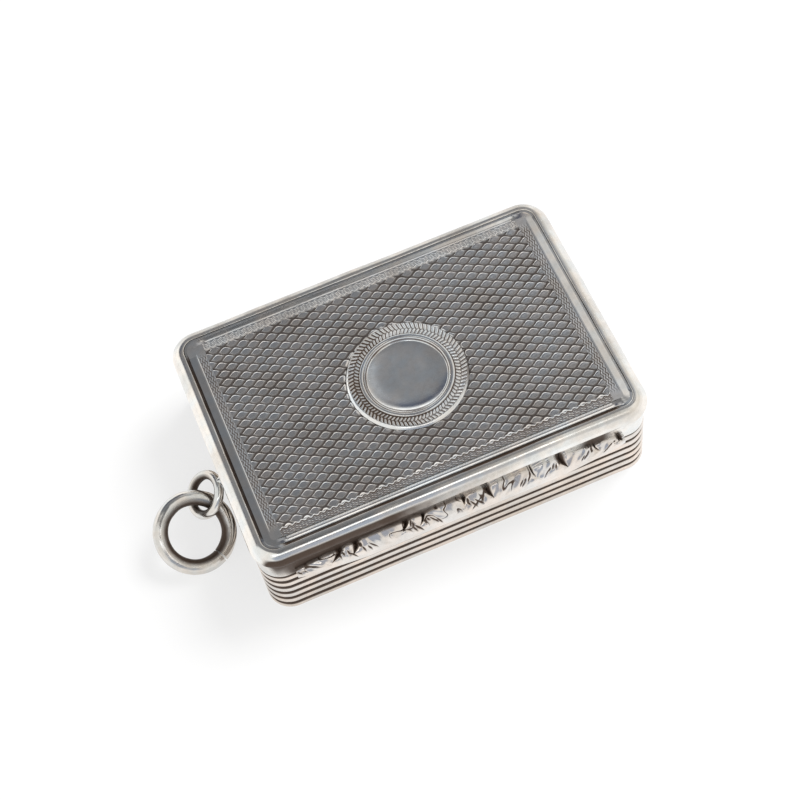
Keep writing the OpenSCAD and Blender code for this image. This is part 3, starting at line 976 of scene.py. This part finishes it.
bpy.ops.object.mode_set(mode="EDIT")
bpy.ops.mesh.delete(type="VERT")
bpy.ops.object.mode_set(mode="OBJECT")
for vertex in round_reserve.data.vertices:
    vertex.co = (reserve_r * (vertex.co.x + 0.5) ** 0.6, 0, 0)
edit_all()
bpy.ops.mesh.spin(steps=teeth * tooth_steps, angle=2 * math.pi, center=(0, 0, 0), axis=(0, 0, -1))
close_up()
spots = points_of(round_reserve)
radius = np.hypot(spots[:, 0], spots[:, 1])
turn = np.arctan2(spots[:, 1], spots[:, 0])
front_left = unit(0.5 + 0.9 * np.cos(turn - bevel_way))
teeth_edge = reserve_r - bevel_w - bevel_more * front_left
row_w = (teeth_edge - band_r) / 2
row = unit(np.floor((radius - band_r) / row_w))
row_place = unit((radius - band_r - row * row_w) / row_w)
slant = np.where(row == 0, tooth_slant, -tooth_slant) * row_place
tooth = 0.5 - 0.5 * np.cos(2 * math.pi * (teeth * turn / (2 * math.pi) + slant + 0.25 * row))
tooth = tooth * np.sin(math.pi * np.where(row == 0, row_place, np.minimum(row_place, 0.6))) ** 0.5
lip_middle = (disc_r + lip_r) / 2
lip = unit(1 - (2 * (radius - lip_middle) / (lip_r - disc_r)) ** 2)
steeper = unit(np.cos(turn - front_way))
dish = (dish_rise + front_rise * steeper) * (np.minimum(radius, disc_r) / disc_r) ** dish_curve
bevel = unit((radius - teeth_edge) / (reserve_r - teeth_edge))
in_teeth = (radius >= band_r) & (radius < teeth_edge)
bead = unit((radius - lip_r) / (band_r - lip_r))
level = np.where(radius < disc_r, dish - dish_deep, band_h)
level = level + np.where((radius >= disc_r) & (radius < lip_r), lip * (lip_h - band_h), 0)
level = level + bead_h * (1 - (2 * bead - 1) ** 2)
level = level + np.where(in_teeth, tooth_h * (tooth - 1), 0) - (band_h + reserve_foot) * bevel ** 1.6
spots[:, 2] = lid_top + level
spots[:, 0] = spots[:, 0] + reserve_x
spots[:, 1] = spots[:, 1] + reserve_y
grooved_and_shaded = np.where(in_teeth, 0.85 * (1 - tooth) ** 1.6, 0)
for line_r in (disc_r, lip_r + 0.02 * mm, band_r):
    grooved_and_shaded = grooved_and_shaded + unit(1 - np.abs(radius - line_r) / brown_line_w)
# Painted shade: the bevel on its back right side and the teeth on the left are darkened.
away_right = np.cos(turn - shade_way)
grooved_and_shaded = grooved_and_shaded + 0.65 * np.where(bevel > 0, unit(2 * away_right), 0)
grooved_and_shaded = grooved_and_shaded + 0.35 * np.where(in_teeth, unit(-np.cos(turn)), 0)
stains = np.array([noise.noise(Vector(spot) / stain_size) for spot in spots])
grooved_and_shaded = grooved_and_shaded + np.where(radius < disc_r, 0.35 * unit(stains), 0)
put_points(round_reserve, spots, grooved_and_shaded)
smooth(round_reserve, 60)
reserve_silver = silver("reserve_silver", (0.93, 0.925, 0.915, 1), polish=0.12, dark_share=1.0, rubbing=0.9)
dress(round_reserve, reserve_silver)
set_in(round_reserve, "lid", "silver", "lid_plate")

# Thumbpiece
# A cast strip of low scrolling leaves soldered along the front of the flange, by which the lid is lifted.
# The leaves are rounded and bright over a plain lower band, with hollows and short chased nicks darkened with
# dark polish and painted shade, and painted shade along their top edge under the roll.
thumb_l = 30 * mm
thumb_root = -12.25 * mm
thumb_lip = -13.15 * mm
thumb_back = -11.95 * mm
thumb_low = 6.16 * mm
thumb_lip_h = 0.28 * mm
thumb_h = 1.58 * mm
thumb_columns = 800
thumb_rows = 46
leaf_count = 10
nicks_each = 5
nick_w = 0.15 * mm
vein_w = 0.11
vein_run = 0.85 * mm
vein_lean = 0.9 * mm
cluster_run = 1.5 * mm
leaf_deep = 0.2 * mm
chase_deep = 0.09 * mm
nick_deep = 0.1 * mm
hollow_deep = 0.2 * mm
least_gap = 0.08 * mm
least = 1e-9
end_taper = 6 * mm
leaf_thumbpiece = new_piece("leaf_thumbpiece", bpy.ops.mesh.primitive_grid_add, size=1,
                            x_subdivisions=thumb_columns, y_subdivisions=thumb_rows)
spots = points_of(leaf_thumbpiece)
run = spots[:, 0] * thumb_l
up = spots[:, 1] + 0.5
leaf_run = thumb_l / leaf_count
hollow = np.zeros(len(run))
nick = np.zeros(len(run))
nearest = np.full(len(run), leaf_run)


def stray(place, kind):
    """A steady small variation from leaf to leaf, from about -1 to 1."""
    return 2.6 * noise.noise(Vector((place * 1.73 + 0.4, kind * 3.1 + 0.2, 0.7)))


for place in range(leaf_count + 1):
    side = -1 if place <= leaf_count / 2 else 1
    top_at = (place - leaf_count / 2 + 0.3 * stray(place, 0)) * leaf_run
    curl = side * (0.9 + 0.5 * stray(place, 1)) * mm
    foot = 0.4 + 0.25 * stray(place, 2)
    open_w = (0.36 + 0.36 * stray(place, 3)) * mm
    line = top_at + curl * (1 - up) ** 1.5
    rise = unit((up - foot) / (1 - foot))
    gap_w = max(open_w, least_gap) * rise + least
    hollow = np.maximum(hollow, unit(1 - np.abs(run - line) / gap_w))
    nearest = np.minimum(nearest, np.abs(run - line))
    for cut in range(nicks_each):
        middle_up = 0.75 - 0.09 * cut + 0.1 * stray(place, 4 + cut)
        tall = 0.24 + 0.08 * stray(place, 9 + cut)
        away = (0.28 + 0.3 * cut + 0.12 * stray(place, 14 + cut)) * mm
        lean = (0.5 + 0.3 * cut + 0.3 * stray(place, 19 + cut)) * mm
        stroke = run - top_at + side * (away - lean * (up - middle_up)) - 0.4 * curl * (1 - up)
        lens = unit(1 - ((up - middle_up) / tall) ** 2)
        nick = np.maximum(nick, unit(1 - np.abs(stroke) / (nick_w * lens + least)) * lens)
slanted = (run - vein_lean * up * np.sign(run)) / vein_run
veins = np.array([noise.noise(Vector((x, 1.7 * y, 0.3))) for x, y in zip(slanted, up)])
cluster = np.array([noise.noise(Vector((x / cluster_run, 0.5 * y, 7.3))) for x, y in zip(run, up)])
chased = np.array([noise.noise(Vector((1.5 * x, 2.2 * y, 4.6))) for x, y in zip(slanted, up)])
drawn = unit(1 - np.abs(veins) / vein_w) * unit(0.4 + 5 * cluster) * unit(3 * up - 0.6)
nick = np.maximum(nick, drawn)
lobe = np.sqrt(unit(1 - (1 - unit(nearest / (0.35 * leaf_run))) ** 2))
bulge = 1 - (1 - lobe) * unit((up - 0.35) / 0.4)
ends = unit((thumb_l / 2 - np.abs(run)) / end_taper) ** 0.7
top_edge = (0.74 + 0.26 * bulge) * (0.3 + 0.7 * ends)
relief = leaf_deep * (bulge - 1) + chase_deep * chased - nick_deep * nick - hollow_deep * hollow
relief = relief * unit(up / 0.2)
lip_out = (thumb_lip - thumb_root) * (0.3 + 0.7 * ends)
face_tilt = 0.2 + 0.5 * up
depth_y = thumb_root + lip_out * (1 - up ** 1.4) - relief * (1 - face_tilt)
height_z = thumb_low + thumb_lip_h + (thumb_h - thumb_lip_h) * top_edge * up ** 0.85 + relief * face_tilt
# The nicks and hollows are darkened with dark polish and painted shade; the top edge under the roll is
# painted shade, strongest at the left.
top_shade = (up - 0.92) * np.where(run < 0, 7, 2)
shaded = np.maximum(1.3 * nick, np.maximum(1.4 * hollow, top_shade))
put_points(leaf_thumbpiece, np.column_stack([run, depth_y, height_z]), shaded)
edit_all()
bpy.ops.mesh.select_all(action="DESELECT")
bpy.ops.mesh.select_non_manifold()
bpy.ops.mesh.extrude_edges_move(TRANSFORM_OT_translate={"value": (0, 0, 0)})
bpy.ops.object.mode_set(mode="OBJECT")
for vertex in leaf_thumbpiece.data.vertices:
    if vertex.select:
        vertex.co.z = thumb_low if vertex.co.z < thumb_low + thumb_lip_h * 1.6 else vertex.co.z
        vertex.co.y = max(vertex.co.y, thumb_back) if vertex.co.z > thumb_low else vertex.co.y
for vertex in leaf_thumbpiece.data.vertices:
    vertex.select = vertex.co.z < thumb_low + hair
bpy.ops.object.mode_set(mode="EDIT")
bpy.ops.mesh.extrude_edges_move(TRANSFORM_OT_translate={"value": (0, 0, 0)})
bpy.ops.object.mode_set(mode="OBJECT")
for vertex in leaf_thumbpiece.data.vertices:
    if vertex.select:
        vertex.co.y = thumb_back
edit_all()
bpy.ops.mesh.normals_make_consistent(inside=False)
bpy.ops.object.mode_set(mode="OBJECT")
smooth(leaf_thumbpiece, 60)
leaf_silver = silver("leaf_silver", (0.86, 0.785, 0.725, 1), polish=0.12, dark_share=1.15, rubbing=0.6)
dress(leaf_thumbpiece, leaf_silver)
set_in(leaf_thumbpiece, "lid", "silver", "thumbpiece")

# Floor, light and camera
# A white table under a soft grey ceiling, with a white horizon all round and a window high at the left. A
# broad lamp at the right lights the table and is kept out of reflections, a small one shines from in front,
# and the camera looks down from the front left.
floor_size = 4
floor_glow = 0.68
ray_kinds = ("Is Camera Ray", "Is Glossy Ray", "Is Transmission Ray")
camera_place = (-0.017738, -0.076735, 0.14165)
camera_turn = (29.5009, 5.5787, -22.2008)
white_floor = new_piece("white_floor", bpy.ops.mesh.primitive_plane_add, size=floor_size)
bpy.ops.object.mode_set(mode="EDIT")
bpy.ops.mesh.subdivide(number_cuts=3)
bpy.ops.object.mode_set(mode="OBJECT")
floor_white = bpy.data.materials.new("floor_white")
floor_white.use_nodes = True
floor_white.node_tree.nodes.remove(floor_white.node_tree.nodes["Principled BSDF"])
start = Finish(floor_white.node_tree)
rays = [start.node("LightPath", {}, {}, kind) for kind in ray_kinds]
seen = (rays[0] + rays[1] + rays[2]).between(0, 1)
matt = start.node("BsdfDiffuse", {}, {"Color": (0.86, 0.86, 0.86, 1)})
glow = start.node("Emission", {}, {"Color": (1, 1, 1, 1), "Strength": 1})
faced = start.node("MixShader", {}, {0: floor_glow * seen, 1: matt, 2: glow})
start.feed(floor_white.node_tree.nodes["Material Output"], "Surface", faced)
dress(white_floor, floor_white)

studio = bpy.data.worlds.new("studio")
bpy.context.scene.world = studio
studio.use_nodes = True
start = Finish(studio.node_tree)
facing = start.node("TexCoord", {}, {}, "Generated")
east = start.node("SeparateXYZ", {}, {"Vector": facing}, "X")
north = start.node("SeparateXYZ", {}, {"Vector": facing}, "Y")
high = start.node("SeparateXYZ", {}, {"Vector": facing}, "Z")
in_front = (0 - north).between(0.1, 0.4) * (1 - east.between(0.1, 0.2))
to_right = (east.between(0.38, 0.6) + east.between(0.1, 0.22) * (1 - north.between(0, 0.2))).between(0, 1)
dusk = east.between(0.25, 0.4).blend((0.08, 0.09, 0.125, 1), (0.30, 0.30, 0.31, 1))
dusk = to_right.blend(dusk, (0.80, 0.78, 0.74, 1))
dusk = in_front.blend(dusk, (0.40, 0.44, 0.52, 1))
horizon = high + 0.2 * in_front - 0.2 * (0 - east).between(0.4, 0.6)
sweep = north.between(0.3, 0.7).blend((0.95, 0.945, 0.93, 1), (1.2, 1.19, 1.16, 1))
walls = horizon.between(0.32, 0.56).blend(sweep, dusk)
ceiling = north.between(-0.2, 0.5).blend((0.10, 0.102, 0.11, 1), (0.235, 0.238, 0.247, 1))
ceiling = (east.between(0.14, 0.27) * north.between(0.2, 0.4)).blend(ceiling, (0.52, 0.53, 0.55, 1))
ceiling = to_right.blend(ceiling, (0.9, 0.88, 0.84, 1))
above = high.between(0.62, 0.83).blend(walls, ceiling)
window = (-0.62 * east + -0.2 * north + 0.75 * high).between(0.82, 0.88)
room = window.blend(above, (0.95, 0.95, 0.93, 1))
camera_ray = start.node("LightPath", {}, {}, "Is Camera Ray")
start.feed(studio.node_tree.nodes["Background"], "Color", camera_ray.blend(room, (1, 1, 1, 1)))


def lamp(name, energy, size, place):
    """An area lamp aimed at the case."""
    bpy.ops.object.light_add(type="AREA", location=place)
    made = bpy.context.object
    made.name = name
    made.data.energy = energy
    made.data.size = size
    made.rotation_euler = (-Vector(place)).to_track_quat("-Z", "Y").to_euler()
    return made


key_lamp = lamp("key_lamp", energy=9, size=0.5, place=(0.6, 0.15, 0.7))
key_lamp.visible_glossy = False
front_lamp = lamp("front_lamp", energy=0.3, size=0.4, place=(-0.06, -0.35, 0.6))
front_lamp.data.shape = "RECTANGLE"
front_lamp.data.size_y = 0.18

bpy.ops.object.camera_add(location=camera_place)
camera = bpy.context.object
camera.rotation_euler = tuple(math.radians(turn) for turn in camera_turn)
camera.data.lens = 80.5
camera.data.sensor_width = 36
camera.data.clip_start = 0.01
bpy.context.scene.camera = camera
bpy.context.scene.view_settings.view_transform = "Standard"
